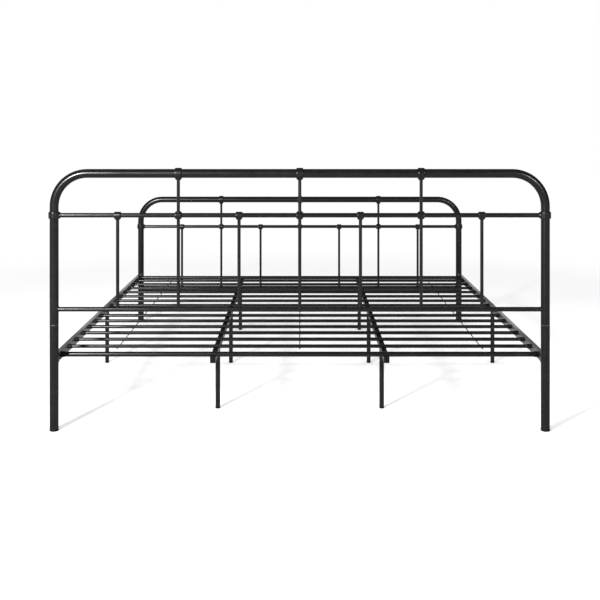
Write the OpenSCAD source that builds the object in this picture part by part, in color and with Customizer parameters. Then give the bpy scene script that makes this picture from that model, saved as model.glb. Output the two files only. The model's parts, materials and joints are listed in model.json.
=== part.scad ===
// Knock-down metal platform bed frame: two hoop panels, spliced rails, cross slats and support legs.
// X runs across the bed, -Y is the head end, +Y the foot end, +Z is up, and Z = 0 is the floor.
// The origin is midway between the four corner posts.

/* [Overall] */
// Width over the corner posts
frame_w = 1969; // [1400:1:2400]
// Length over the corner posts
frame_l = 2115; // [1700:1:2600]
// Height of the headboard hoop
headboard_h = 1030; // [970:1:1300]
// Height of the footboard hoop
footboard_h = 762; // [700:1:1000]
// Height of the platform's top, where the mattress rests
platform_h = 292; // [240:1:360]

/* [Posts and hoops] */
// Diameter of the post and hoop tube
post_d = 35; // [28:0.5:45]
// Wall of the post and hoop tube
post_wall = 1.5; // [1.2:0.1:2.5]
// Radius of the hoop's corner bends, to the tube's centre line
bend_r = 130; // [80:1:200]
// From the headboard's lower rail down to the joint between its hoop and its legs
joint_drop = 62; // [40:1:100]
// Height of the small chamfer on the tube ends at that joint
joint_chamfer = 0.8; // [0.4:0.1:1.2]
// Length of the sleeve inside that joint
sleeve_l = 160; // [100:1:200]
// Wall of that sleeve
sleeve_wall = 1.5; // [1.2:0.1:2.5]
// How much wider the foot cap's flange is than the post
foot_flange_over = 1; // [0.5:0.5:3]
// Height of the foot cap's flange
foot_h = 8; // [6:1:15]
// Length of the foot cap's spigot inside the post
foot_spigot_l = 20; // [12:1:30]

/* [Panel rails and spindles] */
// Diameter of the middle rail and of the headboard's lower rail
rail_d = 18; // [15:0.5:24]
// Diameter of the footboard's heavy lower rail
foot_rail_d = 32; // [26:0.5:38]
// Wall of the panel rails
rail_wall = 1.2; // [1:0.1:2]
// From the lower end of the hoop's bends down to the middle rail's centre line
mid_below_bend = 34.5; // [25:0.5:60]
// Diameter of the spindles
spindle_d = 13; // [10:0.5:18]
// Wall of the spindle tube
spindle_wall = 1; // [0.8:0.1:1.6]
// Length of the lower spindles, between the middle and the lower rail
spindle_l = 352; // [280:1:420]
// Spindles in a panel, an odd number, of which every second one runs on up to the hoop
spindle_count = 7; // [5:2:9]

/* [Castings] */
// How far a casting's band stands out from its tube
band_stand = 5; // [3:0.5:8]
// Length of a casting's band along its tube
band_l = 27; // [20:1:36]
// Chamfer on the edges of a band
band_chamfer = 2; // [1:0.5:2.5]
// How far a casting's skirt runs along the spindle past its tube
skirt_l = 10; // [6:1:16]
// Wall at the thin end of a skirt
skirt_lip = 1.8; // [1.2:0.1:3]

/* [Side rails] */
// Width of the side rail tube
side_rail_w = 20; // [16:1:30]
// Height of the side rail tube
side_rail_h = 35; // [26:1:50]
// Wall of the side rail and centre rail tubes
box_wall = 1.5; // [1.2:0.1:2]
// Outer corner radius of the box tubes
box_r = 2.5; // [2.5:0.5:4]
// Corner radius inside the splice sleeves and the plugs
inner_box_r = 0.6; // [0.3:0.1:1.5]
// From the post's outside in to the side rail's outer face
side_rail_setback = 1; // [0:0.5:6]
// Gap between the post and the side rail's end
rail_end_gap = 1.5; // [1:0.5:4]
// Thickness of the lug welded to each post
lug_t = 4; // [3:0.5:6]
// How far the lug runs past the corner bolt farthest from the post
lug_past = 11; // [8:1:13]
// How far the lug stands above the rail beside the post
lug_rise = 10; // [4:1:16]
// How far the lug hangs below the rail beside the post
lug_fall = 4; // [2:1:8]
// From the rail's end to the first corner bolt
corner_bolt_inset = 14; // [12:1:18]
// Distance between the two corner bolts of a corner
corner_bolt_pitch = 18; // [16:1:20]

/* [Splices] */
// Length of the sleeve that joins two rail halves
splice_l = 300; // [250:1:400]
// Clearance around the sleeve in its rail, each side
splice_gap = 0.2; // [0.1:0.05:0.5]
// From the middle of the bed to each splice screw
splice_screw_y = 110; // [90:1:135]

/* [Centre rails] */
// From the middle of the bed across to each centre rail
centre_rail_x = 348; // [200:1:500]
// Width of the centre rail tube
centre_rail_w = 22; // [18:1:30]
// Height of the centre rail tube
centre_rail_h = 26; // [22:1:40]
// How far the centre rail runs past its end bar's centre line
centre_rail_past = 20; // [14:1:40]
// Thickness of the plastic plug's flange on a centre rail's end
plug_t = 2; // [1.5:0.5:4]
// Length of the plug's spigot inside the rail
plug_spigot_l = 12; // [8:1:20]
// Wall of the plug's spigot
plug_wall = 3; // [2:0.5:4]

/* [Slats] */
// Slats between the two end bars
slat_count = 14; // [10:2:18]
// Diameter of a slat
slat_d = 15; // [12:0.5:18]
// Diameter of the two end bars
end_bar_d = 20; // [19:0.5:25]
// Wall of the slats and end bars
slat_wall = 1; // [0.8:0.1:2]
// From the post's centre line to the end bar's
end_bar_inset = 80; // [76:1:110]
// Length of the plastic socket that holds a slat's end
socket_l = 20; // [15:1:30]
// Wall of that socket
socket_wall = 1.8; // [1.2:0.1:3]
// Chamfer round the socket's open end
socket_lip = 0.8; // [0.3:0.1:1]
// Thickness of the socket's closed end, against the side rail
socket_floor = 3; // [2:0.5:5]
// Diameter of the peg that holds the socket in the rail
peg_d = 6; // [4:0.5:7]
// Length of the peg
peg_l = 4; // [3.5:0.5:8]
// Diameter of the wires that tie the slats together
wire_d = 4; // [3:0.5:6]
// From the post's centre line in to the outer tie wires
wire_inset = 210; // [120:1:260]
// How far a tie wire runs past the last slat it is welded to
wire_past = 8; // [4:1:20]

/* [Support legs] */
// Diameter of the support leg tube
leg_d = 20; // [16:0.5:24]
// Wall of the support leg tube
leg_wall = 1.2; // [1:0.1:2]
// From the middle of the bed, towards the foot, to the middle support legs
mid_leg_y = 40; // [30:1:60]
// From the centre rail's head end to its first support leg
head_leg_inset = 242; // [60:1:400]
// From the centre rail's foot end to its last support leg
foot_leg_inset = 162; // [60:1:400]
// How much wider the support leg cap's flange is than the leg
leg_flange_over = 0.8; // [0.4:0.2:3]
// Height of the support leg cap's flange
leg_cap_h = 7; // [5:1:12]
// Length of the support leg cap's spigot inside the leg
leg_spigot_l = 16; // [10:1:24]

/* [Fasteners] */
// Diameter of the screws and corner bolts
screw_d = 6; // [5:0.5:7]
// Length of the splice screws and leg screws under their heads
screw_l = 12; // [9:1:16]
// From the headboard's leg joint down to the leg screw
leg_screw_drop = 30; // [20:1:40]
// How far a corner bolt runs past its nut
bolt_past = 2; // [1:0.5:6]
// Diameter of the studs on the support legs
stud_d = 8; // [6:0.5:10]
// Length of the stud above its leg
stud_l = 13; // [12:0.5:18]
// Thickness of the stud's base inside the leg
stud_base_l = 12; // [8:1:16]
// Clearance around a screw or stud in its hole, on the diameter
hole_play = 0.4; // [0.3:0.1:1]
// Clearance around a thread in its nut or tapped hole, on the diameter
thread_play = 0.2; // [0.1:0.1:0.3]

/* [Fits] */
// Gap left for the weld where one tube is coped to another
weld_gap = 0.05; // [0.02:0.01:0.2]
// Gap between a casting and the tubes it is cast around
cast_gap = 0.1; // [0.05:0.05:0.2]
// Clearance of a plug, cap or sleeve in its tube, each side
plug_gap = 0.2; // [0.1:0.05:0.4]
// Clearance of a support leg's nut between the sides of the splice sleeve, each side
nut_gap = 0.4; // [0.2:0.1:0.8]

/* [Hidden] */
$fn = 72;
post_x = (frame_w - post_d) / 2;
post_y = (frame_l - post_d) / 2;
past = 1;                       // how far a cutter runs past what it cuts
long = frame_w + frame_l;       // longer than anything in the frame

// Panel heights, from each hoop's own top
function hoop_z(top) = top - post_d / 2;
function mid_rail_z(top) = hoop_z(top) - bend_r - mid_below_bend;
function lower_rail_z(top, d) = mid_rail_z(top) - rail_d / 2 - spindle_l - d / 2;
joint_z = lower_rail_z(headboard_h, rail_d) - joint_drop;

// Spindles stand with equal clear gaps between the two posts
spindle_gap = (2 * post_x - post_d - spindle_count * spindle_d) / (spindle_count + 1);
spindle_pitch = spindle_gap + spindle_d;
function spindle_x(i) = (i - (spindle_count - 1) / 2) * spindle_pitch;
short_spindles = [for (i = [0 : 2 : spindle_count - 1]) spindle_x(i)];
tall_spindles = [for (i = [1 : 2 : spindle_count - 2]) spindle_x(i)];

// Side rails
rail_out_x = post_x + post_d / 2 - side_rail_setback;
rail_mid_x = rail_out_x - side_rail_w / 2;
rail_in_x = rail_out_x - side_rail_w;
rail_end_y = post_y - post_d / 2 - rail_end_gap;
rail_bottom_z = platform_h - side_rail_h;
rail_mid_z = platform_h - side_rail_h / 2;
lug_l = corner_bolt_inset + corner_bolt_pitch + lug_past;
corner_bolt_ys = [for (i = [0, 1]) rail_end_y - corner_bolt_inset - i * corner_bolt_pitch];

// Slats and end bars
end_bar_y = post_y - end_bar_inset;
slat_pitch = 2 * end_bar_y / (slat_count + 1);
function slat_y(i) = i * slat_pitch - end_bar_y;
slat_z = platform_h - slat_d / 2;
end_bar_z = platform_h - end_bar_d / 2;
slat_end_x = rail_in_x - socket_floor;
slat_ids = [for (i = [1 : slat_count]) str("slat_", i < 10 ? "0" : "", i)];

// Centre rails and support legs
centre_top_z = platform_h - slat_d;
centre_bottom_z = centre_top_z - centre_rail_h;
centre_end_y = end_bar_y + centre_rail_past;
centre_leg_ys = [head_leg_inset - centre_end_y, mid_leg_y, centre_end_y - foot_leg_inset];

// Width of a skirt's hidden root, inside the band of a rail and of a hoop or post
small_skirt_w = 1.05 * band_l;
big_skirt_w = 1.5 * band_l;

// Screws and nuts
screw_head_d = 1.8 * screw_d;
screw_head_h = 0.55 * screw_d;
screw_nut_af = 1.65 * screw_d;
screw_nut_h = 0.85 * screw_d;
stud_nut_af = min(side_rail_w, centre_rail_w) - 4 * box_wall - 2 * splice_gap - 2 * nut_gap;
stud_nut_h = 0.8 * stud_d;

steel_black = "#262525";
plastic_black = "#161616";
zinc = "#9a9c9e";

// ---------- shared shapes ----------

// Straight round tube along Z, from z0 to z1
module round_tube(z0, z1, d, wall) {
    translate([0, 0, z0]) difference() {
        cylinder(h = z1 - z0, d = d);
        translate([0, 0, -past]) cylinder(h = z1 - z0 + 2 * past, d = d - 2 * wall);
    }
}

// Solid round bar along X, centred on the origin
module bar_x(l, d) {
    rotate([0, 90, 0]) cylinder(h = l, d = d, center = true);
}

// Solid round bar along Y, centred on the origin
module bar_y(l, d) {
    rotate([90, 0, 0]) cylinder(h = l, d = d, center = true);
}

// Round tube along X, centred on the origin
module tube_x(l, d, wall) {
    difference() {
        bar_x(l, d);
        bar_x(l + 2 * past, d - 2 * wall);
    }
}

// Rectangle with rounded corners
module round_rect(w, h, r) {
    square([w - 2 * r, h], center = true);
    square([w, h - 2 * r], center = true);
    for (x = [-1, 1], y = [-1, 1]) translate([x * (w / 2 - r), y * (h / 2 - r)]) circle(r);
}

// Rectangular bar along Y, from y0 to y1, with w across X and h up Z
module box_bar(y0, y1, w, h, r) {
    translate([0, y1, 0]) rotate([90, 0, 0]) linear_extrude(y1 - y0) round_rect(w, h, r);
}

// Rectangular tube along Y
module box_tube(y0, y1, w, h) {
    difference() {
        box_bar(y0, y1, w, h, box_r);
        box_bar(y0 - past, y1 + past, w - 2 * box_wall, h - 2 * box_wall, box_r - box_wall);
    }
}

// Hexagon nut along Z, standing on z = 0, with two of its flats facing along X
module hex_nut(af, h, bore) {
    difference() {
        rotate(30) cylinder(h = h, d = af / cos(30), $fn = 6);
        translate([0, 0, -past]) cylinder(h = h + 2 * past, d = bore);
    }
}

// Button-head screw: the head sits above z = 0, and the shank points down
module screw(l) {
    rise = 0.75 * screw_head_h;
    difference() {
        union() {
            cylinder(h = screw_head_h - rise, d = screw_head_d);
            translate([0, 0, screw_head_h - rise])
                cylinder(h = rise, d1 = screw_head_d, d2 = 0.6 * screw_head_d);
            translate([0, 0, -l]) cylinder(h = l + past / 2, d = screw_d);
        }
        translate([0, 0, screw_head_h - rise]) cylinder(h = rise + past, d = 0.65 * screw_d, $fn = 6);
    }
}

// The same thing on the left and on the right
module both_sides() {
    children();
    mirror([1, 0, 0]) children();
}

// The same thing at the head and at the foot
module both_ends() {
    children();
    mirror([0, 1, 0]) children();
}

// ---------- hoops, legs and feet ----------

// Path of a hoop as a solid: two uprights, two bends and the top
module hoop_solid(top, bottom, d) {
    z = hoop_z(top);
    both_sides() {
        translate([post_x, 0, bottom]) cylinder(h = z - bend_r - bottom, d = d);
        translate([post_x - bend_r, 0, z - bend_r]) rotate([90, 0, 0])
            rotate_extrude(angle = 90) translate([bend_r, 0]) circle(d = d);
    }
    translate([0, 0, z]) bar_x(2 * (post_x - bend_r), d);
}

// A bent hoop of tube, open at its two lower ends
module hoop(top, bottom) {
    difference() {
        hoop_solid(top, bottom, post_d);
        hoop_solid(top, bottom - past, post_d - 2 * post_wall);
    }
}

// Ring that cuts a small chamfer on a post's end; up is 1 for the upper end and -1 for the lower
module end_chamfer(z, up) {
    translate([0, 0, z]) mirror([0, 0, up > 0 ? 0 : 1]) difference() {
        translate([0, 0, -joint_chamfer]) cylinder(h = 2 * joint_chamfer, d = 2 * post_d);
        translate([0, 0, -joint_chamfer])
            cylinder(h = 2 * joint_chamfer, d1 = post_d, d2 = post_d - 4 * joint_chamfer);
    }
}

// Hole for a leg screw, from the bed side of a headboard post
module leg_screw_hole(d) {
    translate([0, post_d / 2, joint_z - leg_screw_drop]) bar_y(post_d, d);
}

module headboard_hoop() {
    color(steel_black) translate([0, -post_y, 0]) difference() {
        hoop(headboard_h, joint_z);
        both_sides() translate([post_x, 0, 0]) end_chamfer(joint_z, -1);
    }
}

// Lower leg of the headboard, at x
module headboard_leg(x) {
    color(steel_black) translate([x, -post_y, 0]) difference() {
        round_tube(foot_h, joint_z, post_d, post_wall);
        end_chamfer(joint_z, 1);
        leg_screw_hole(screw_d + hole_play);
    }
}

module headboard_leg_sleeves() {
    sleeve_d = post_d - 2 * post_wall - 2 * plug_gap;
    color(steel_black) both_sides() translate([post_x, -post_y, 0]) difference() {
        round_tube(joint_z - sleeve_l / 2, joint_z + sleeve_l / 2, sleeve_d, sleeve_wall);
        leg_screw_hole(screw_d + thread_play);
    }
}

module headboard_leg_screws() {
    color(steel_black) both_sides() translate([post_x, -post_y, 0]) difference() {
        translate([0, post_d / 2 - past / 2, joint_z - leg_screw_drop]) rotate([-90, 0, 0])
            screw(screw_l);
        // the head is dished to sit on the round post
        difference() {
            translate([0, 0, joint_z - leg_screw_drop]) cylinder(h = 2 * post_d, d = post_d, center = true);
            translate([0, 0, joint_z - leg_screw_drop]) bar_y(2 * post_d, screw_d);
        }
    }
}

module footboard_hoop() {
    color(steel_black) translate([0, post_y, 0]) hoop(footboard_h, foot_h);
}

// Cap that closes the bottom of a tube: a flange of height h under it, and a hollow spigot inside
module foot_cap(tube_d, tube_wall, over, h, spigot_l) {
    r = (tube_d + over) / 2;
    round_r = 0.4 * h;
    spigot_r = tube_d / 2 - tube_wall - plug_gap;
    rotate_extrude() difference() {
        union() {
            translate([0, round_r]) square([r, h - round_r]);
            square([r - round_r, h]);
            translate([r - round_r, round_r]) circle(round_r);
            translate([0, h - past / 2]) square([spigot_r, spigot_l + past / 2]);
        }
        translate([-r, -past]) square([r, 2 * h + spigot_l]);
        translate([0, h]) square([0.75 * spigot_r, spigot_l + past]);
    }
}

module corner_foot_caps() {
    color(plastic_black) both_ends() both_sides() translate([post_x, post_y, 0])
        foot_cap(post_d, post_wall, foot_flange_over, foot_h, foot_spigot_l);
}

// ---------- panel rails and spindles ----------

// A rail between the two posts of a panel, its ends coped to them
module panel_rail(z, d) {
    difference() {
        translate([0, 0, z]) tube_x(2 * post_x, d, rail_wall);
        both_sides() translate([post_x, 0, z])
            cylinder(h = 2 * post_d, d = post_d + 2 * weld_gap, center = true);
    }
}

module headboard_mid_rail() {
    color(steel_black) translate([0, -post_y, 0]) panel_rail(mid_rail_z(headboard_h), rail_d);
}

module headboard_lower_rail() {
    color(steel_black) translate([0, -post_y, 0])
        panel_rail(lower_rail_z(headboard_h, rail_d), rail_d);
}

module footboard_mid_rail() {
    color(steel_black) translate([0, post_y, 0]) panel_rail(mid_rail_z(footboard_h), rail_d);
}

module footboard_lower_rail() {
    color(steel_black) translate([0, post_y, 0])
        panel_rail(lower_rail_z(footboard_h, foot_rail_d), foot_rail_d);
}

// Upright spindles at each x, from the tube at z0 to the tube at z1, coped to both
module spindles(xs, z0, d0, z1, d1) {
    for (x = xs) translate([x, 0, 0]) difference() {
        round_tube(z0, z1, spindle_d, spindle_wall);
        translate([0, 0, z0]) bar_x(2 * spindle_d, d0 + 2 * weld_gap);
        translate([0, 0, z1]) bar_x(2 * spindle_d, d1 + 2 * weld_gap);
    }
}

module upper_spindles(top) {
    spindles(tall_spindles, mid_rail_z(top), rail_d, hoop_z(top), post_d);
}

module lower_spindles(top, lower_d) {
    xs = [for (i = [0 : spindle_count - 1]) spindle_x(i)];
    spindles(xs, lower_rail_z(top, lower_d), lower_d, mid_rail_z(top), rail_d);
}

module headboard_upper_spindles() {
    color(steel_black) translate([0, -post_y, 0]) upper_spindles(headboard_h);
}

module headboard_lower_spindles() {
    color(steel_black) translate([0, -post_y, 0]) lower_spindles(headboard_h, rail_d);
}

module footboard_upper_spindles() {
    color(steel_black) translate([0, post_y, 0]) upper_spindles(footboard_h);
}

module footboard_lower_spindles() {
    color(steel_black) translate([0, post_y, 0]) lower_spindles(footboard_h, foot_rail_d);
}

// ---------- castings ----------

// Chamfered band around a tube of diameter d that runs along Z
module band(d, l) {
    flat = l - 2 * band_chamfer;
    cylinder(h = flat, d = d, center = true);
    for (up = [0, 1]) mirror([0, 0, up]) translate([0, 0, flat / 2])
        cylinder(h = band_chamfer, d1 = d, d2 = d - 2 * band_chamfer);
}

// Skirt that tapers down along a thinner tube of diameter small, from a tube of diameter big
module skirt(big, small, wide) {
    thin = small + 2 * skirt_lip;
    reach = big / 2 + skirt_l;
    translate([0, 0, -reach]) cylinder(h = reach - big / 4, d1 = thin, d2 = wide);
}

// Collar on the hoop's top, with a skirt down a tall spindle
module top_collar() {
    difference() {
        union() {
            rotate([0, 90, 0]) band(post_d + 2 * band_stand, band_l);
            skirt(post_d, spindle_d, big_skirt_w);
        }
        bar_x(2 * band_l, post_d + 2 * cast_gap);
        translate([0, 0, -post_d]) cylinder(h = post_d, d = spindle_d + 2 * cast_gap);
    }
}

// Tee collar on the middle rail, with a skirt down a short spindle
module tee_collar() {
    difference() {
        union() {
            rotate([0, 90, 0]) band(rail_d + 2 * band_stand, band_l);
            skirt(rail_d, spindle_d, small_skirt_w);
        }
        bar_x(2 * band_l, rail_d + 2 * cast_gap);
        translate([0, 0, -post_d]) cylinder(h = post_d, d = spindle_d + 2 * cast_gap);
    }
}

// Cross collar on the middle rail, with skirts both up and down a tall spindle
module cross_collar() {
    difference() {
        union() {
            rotate([0, 90, 0]) band(rail_d + 2 * band_stand, band_l);
            skirt(rail_d, spindle_d, small_skirt_w);
            mirror([0, 0, 1]) skirt(rail_d, spindle_d, small_skirt_w);
        }
        bar_x(2 * band_l, rail_d + 2 * cast_gap);
        cylinder(h = 2 * post_d, d = spindle_d + 2 * cast_gap, center = true);
    }
}

// Collar on a post, with a skirt along the middle rail towards the bed's centre line
module post_collar() {
    difference() {
        union() {
            band(post_d + 2 * band_stand, band_l);
            rotate([0, 90, 0]) skirt(post_d, rail_d, small_skirt_w);
        }
        cylinder(h = 2 * band_l, d = post_d + 2 * cast_gap, center = true);
        translate([-post_d, 0, 0]) bar_x(2 * post_d, rail_d + 2 * cast_gap);
    }
}

module top_collars() {
    color(steel_black) for (end = [[-post_y, headboard_h], [post_y, footboard_h]], x = tall_spindles)
        translate([x, end[0], hoop_z(end[1])]) top_collar();
}

module tee_collars() {
    color(steel_black) for (end = [[-post_y, headboard_h], [post_y, footboard_h]], x = short_spindles)
        translate([x, end[0], mid_rail_z(end[1])]) tee_collar();
}

module cross_collars() {
    color(steel_black) for (end = [[-post_y, headboard_h], [post_y, footboard_h]], x = tall_spindles)
        translate([x, end[0], mid_rail_z(end[1])]) cross_collar();
}

module post_collars() {
    color(steel_black) for (end = [[-post_y, headboard_h], [post_y, footboard_h]])
        both_sides() translate([post_x, end[0], mid_rail_z(end[1])]) post_collar();
}

// ---------- corners ----------

// Plate welded to the post against the side rail's inner face, its top sloping down to the rail. The
// panel's lower rail, of diameter low_d at low_z, clears it or is coped into it.
module corner_lug(low_z, low_d) {
    tip_y = rail_end_y - lug_l;
    shoulder_y = rail_end_y - lug_l / 4;
    outline = [[tip_y, rail_bottom_z + lug_fall], [tip_y, platform_h - lug_fall],
               [rail_end_y, platform_h + lug_rise], [post_y, platform_h + lug_rise],
               [post_y, rail_bottom_z - lug_fall], [shoulder_y, rail_bottom_z - lug_fall]];
    difference() {
        translate([rail_in_x - lug_t, 0, 0]) rotate([90, 0, 90]) linear_extrude(lug_t) polygon(outline);
        translate([post_x, post_y, 0]) cylinder(h = 2 * platform_h, d = post_d + 2 * weld_gap);
        translate([post_x, post_y, low_z]) bar_x(2 * post_d, low_d + 2 * weld_gap);
        for (y = corner_bolt_ys) translate([rail_in_x, y, rail_mid_z])
            bar_x(4 * lug_t, screw_d + hole_play);
    }
}

module corner_lugs() {
    color(steel_black) both_sides() {
        mirror([0, 1, 0]) corner_lug(lower_rail_z(headboard_h, rail_d), rail_d);
        corner_lug(lower_rail_z(footboard_h, foot_rail_d), foot_rail_d);
    }
}

module corner_bolts() {
    bolt_l = side_rail_w + lug_t + screw_nut_h + bolt_past;
    color(steel_black) both_ends() both_sides() for (y = corner_bolt_ys)
        translate([rail_out_x, y, rail_mid_z]) rotate([0, 90, 0]) screw(bolt_l);
}

module corner_nuts() {
    color(zinc) both_ends() both_sides() for (y = corner_bolt_ys)
        translate([rail_in_x - lug_t, y, rail_mid_z]) rotate([0, -90, 0])
            hex_nut(screw_nut_af, screw_nut_h, screw_d + thread_play);
}

// ---------- side rails ----------

// Peg holes for the sockets of slats first to last, in the inner wall of the right-hand rail
module peg_holes(first, last) {
    for (i = [first : last]) {
        z = i == 0 || i == slat_count + 1 ? end_bar_z : slat_z;
        translate([rail_in_x, slat_y(i), z]) bar_x(4 * peg_l, peg_d + thread_play);
    }
}

// Foot half of the right-hand side rail; the head half has no support leg
module side_rail_half(first, last, has_leg) {
    difference() {
        translate([rail_mid_x, 0, rail_mid_z]) box_tube(0, rail_end_y, side_rail_w, side_rail_h);
        mirror([0, has_leg ? 0 : 1, 0]) peg_holes(first, last);
        for (y = corner_bolt_ys) translate([rail_mid_x, y, rail_mid_z])
            bar_x(2 * side_rail_w, screw_d + hole_play);
        translate([rail_mid_x, splice_screw_y, rail_bottom_z])
            cylinder(h = 4 * box_wall, d = screw_d + hole_play, center = true);
        if (has_leg) translate([rail_mid_x, mid_leg_y, rail_bottom_z])
            cylinder(h = 4 * box_wall, d = stud_d + hole_play, center = true);
    }
}

module side_rail_foot_half() {
    color(steel_black) side_rail_half(slat_count / 2 + 1, slat_count + 1, true);
}

module side_rail_head_half() {
    color(steel_black) mirror([0, 1, 0]) side_rail_half(0, slat_count / 2, false);
}

// Sleeve inside a spliced rail of size w by h whose underside is at z
module splice(w, h, z) {
    inner_w = w - 2 * (box_wall + splice_gap);
    inner_h = h - 2 * (box_wall + splice_gap);
    difference() {
        translate([0, 0, z + h / 2]) difference() {
            box_bar(-splice_l / 2, splice_l / 2, inner_w, inner_h, box_r - box_wall);
            box_bar(-splice_l, splice_l, inner_w - 2 * box_wall, inner_h - 2 * box_wall, inner_box_r);
        }
        for (end = [-1, 1]) translate([0, end * splice_screw_y, z])
            cylinder(h = 6 * box_wall, d = screw_d + thread_play, center = true);
        translate([0, mid_leg_y, z]) cylinder(h = 6 * box_wall, d = stud_d + hole_play, center = true);
    }
}

module side_rail_splices() {
    color(steel_black) both_sides() difference() {
        translate([rail_mid_x, 0, 0]) splice(side_rail_w, side_rail_h, rail_bottom_z);
        peg_holes(0, slat_count + 1);
    }
}

// Splice screws, up through the underside of each rail half into its sleeve
module splice_screws() {
    rails = [[rail_mid_x, rail_bottom_z], [centre_rail_x, centre_bottom_z]];
    color(steel_black) both_sides() for (rail = rails, end = [-1, 1])
        translate([rail[0], end * splice_screw_y, rail[1]]) mirror([0, 0, 1]) screw(screw_l);
}

// ---------- centre rails ----------

// Foot half of the right-hand centre rail, notched to sit on its end bar
module centre_rail_half(leg_ys) {
    difference() {
        translate([centre_rail_x, 0, centre_top_z - centre_rail_h / 2])
            box_tube(0, centre_end_y, centre_rail_w, centre_rail_h);
        translate([centre_rail_x, end_bar_y, end_bar_z])
            bar_x(2 * centre_rail_w, end_bar_d + 2 * weld_gap);
        translate([centre_rail_x, splice_screw_y, centre_bottom_z])
            cylinder(h = 4 * box_wall, d = screw_d + hole_play, center = true);
        for (y = leg_ys) translate([centre_rail_x, y, centre_bottom_z])
            cylinder(h = 4 * box_wall, d = stud_d + hole_play, center = true);
    }
}

module centre_rail_foot_half() {
    color(steel_black) centre_rail_half([centre_leg_ys[1], centre_leg_ys[2]]);
}

module centre_rail_head_half() {
    color(steel_black) mirror([0, 1, 0]) centre_rail_half([-centre_leg_ys[0]]);
}

module centre_rail_splices() {
    color(steel_black) both_sides() translate([centre_rail_x, 0, 0])
        splice(centre_rail_w, centre_rail_h, centre_bottom_z);
}

module centre_rail_plugs() {
    w = centre_rail_w - 2 * (box_wall + plug_gap);
    h = centre_rail_h - 2 * (box_wall + plug_gap);
    color(plastic_black) both_ends() both_sides()
        translate([centre_rail_x, centre_end_y, centre_top_z - centre_rail_h / 2]) difference() {
            union() {
                box_bar(0, plug_t, centre_rail_w, centre_rail_h, box_r);
                box_bar(-plug_spigot_l, past / 2, w, h, box_r - box_wall);
            }
            box_bar(-plug_spigot_l - past, 0, w - 2 * plug_wall, h - 2 * plug_wall, inner_box_r);
            translate([0, -centre_rail_past, end_bar_z - centre_top_z + centre_rail_h / 2])
                bar_x(2 * centre_rail_w, end_bar_d + 4 * plug_gap);
        }
}

// ---------- slats ----------

// A slat or an end bar at y, from socket to socket, with its centre line at z
module cross_bar(y, z, d) {
    color(steel_black) translate([0, y, z]) tube_x(2 * slat_end_x, d, slat_wall);
}

// Plastic socket that pegs into the right-hand side rail and holds the end of a bar
module socket(d) {
    translate([rail_in_x, 0, 0]) rotate([0, -90, 0]) difference() {
        union() {
            cylinder(h = socket_l - socket_lip, d = d + 2 * socket_wall);
            translate([0, 0, socket_l - socket_lip])
                cylinder(h = socket_lip, d1 = d + 2 * socket_wall, d2 = d + 2 * (socket_wall - socket_lip));
            translate([0, 0, -peg_l]) cylinder(h = peg_l + past, d = peg_d);
        }
        translate([0, 0, socket_floor]) cylinder(h = socket_l, d = d + plug_gap);
    }
}

module slat_sockets() {
    color(plastic_black) both_sides() for (i = [1 : slat_count])
        translate([0, slat_y(i), slat_z]) socket(slat_d);
}

module end_bar_sockets() {
    color(plastic_black) both_sides() for (end = [-1, 1])
        translate([0, end * end_bar_y, end_bar_z]) socket(end_bar_d);
}

// Wires welded under the slats to keep them apart
module tie_wires() {
    z = platform_h - slat_d - wire_d / 2;
    l = 2 * (slat_y(slat_count) + wire_past);
    outer_x = post_x - wire_inset;
    color(steel_black) for (x = [-outer_x, 0, outer_x]) translate([x, 0, z]) bar_y(l, wire_d);
}

// ---------- support legs ----------

// [x, y, underside of the rail, height of the nut's seat above that] of each support leg on the right
nut_seat = box_wall;
spliced_nut_seat = 2 * box_wall + splice_gap;
side_leg = [rail_mid_x, mid_leg_y, rail_bottom_z, spliced_nut_seat];
centre_legs = [for (y = centre_leg_ys)
    [centre_rail_x, y, centre_bottom_z, y == mid_leg_y ? spliced_nut_seat : nut_seat]];
support_legs = concat([side_leg], centre_legs);

module support_leg(leg) {
    translate([leg[0], leg[1], 0]) round_tube(leg_cap_h, leg[2], leg_d, leg_wall);
}

module side_support_legs() {
    color(steel_black) both_sides() support_leg(side_leg);
}

module centre_support_legs() {
    color(steel_black) both_sides() for (leg = centre_legs) support_leg(leg);
}

// Stud whose round base is welded inside the top of its leg
module support_leg_studs() {
    base_d = leg_d - 2 * leg_wall - 2 * plug_gap;
    color(zinc) both_sides() for (leg = support_legs) translate([leg[0], leg[1], leg[2]]) {
        translate([0, 0, -stud_base_l]) cylinder(h = stud_base_l, d = base_d);
        translate([0, 0, -past]) cylinder(h = stud_l + past, d = stud_d);
    }
}

module support_leg_nuts() {
    color(zinc) both_sides() for (leg = support_legs) translate([leg[0], leg[1], leg[2] + leg[3]])
        hex_nut(stud_nut_af, stud_nut_h, stud_d + thread_play);
}

module support_leg_caps() {
    color(plastic_black) both_sides() for (leg = support_legs) translate([leg[0], leg[1], 0])
        foot_cap(leg_d, leg_wall, leg_flange_over, leg_cap_h, leg_spigot_l);
}

// ---------- the parts ----------

headboard_hoop();
headboard_leg(-post_x);  // headboard_left_leg
headboard_leg(post_x);  // headboard_right_leg
headboard_leg_sleeves();
headboard_leg_screws();
headboard_mid_rail();
headboard_lower_rail();
headboard_upper_spindles();
headboard_lower_spindles();
footboard_hoop();
footboard_mid_rail();
footboard_lower_rail();
footboard_upper_spindles();
footboard_lower_spindles();
top_collars();
tee_collars();
cross_collars();
post_collars();
corner_lugs();
corner_foot_caps();
corner_bolts();
corner_nuts();
mirror([1, 0, 0]) side_rail_head_half();  // side_rail_left_head
mirror([1, 0, 0]) side_rail_foot_half();  // side_rail_left_foot
side_rail_head_half();  // side_rail_right_head
side_rail_foot_half();  // side_rail_right_foot
side_rail_splices();
mirror([1, 0, 0]) centre_rail_head_half();  // centre_rail_left_head
mirror([1, 0, 0]) centre_rail_foot_half();  // centre_rail_left_foot
centre_rail_head_half();  // centre_rail_right_head
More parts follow.
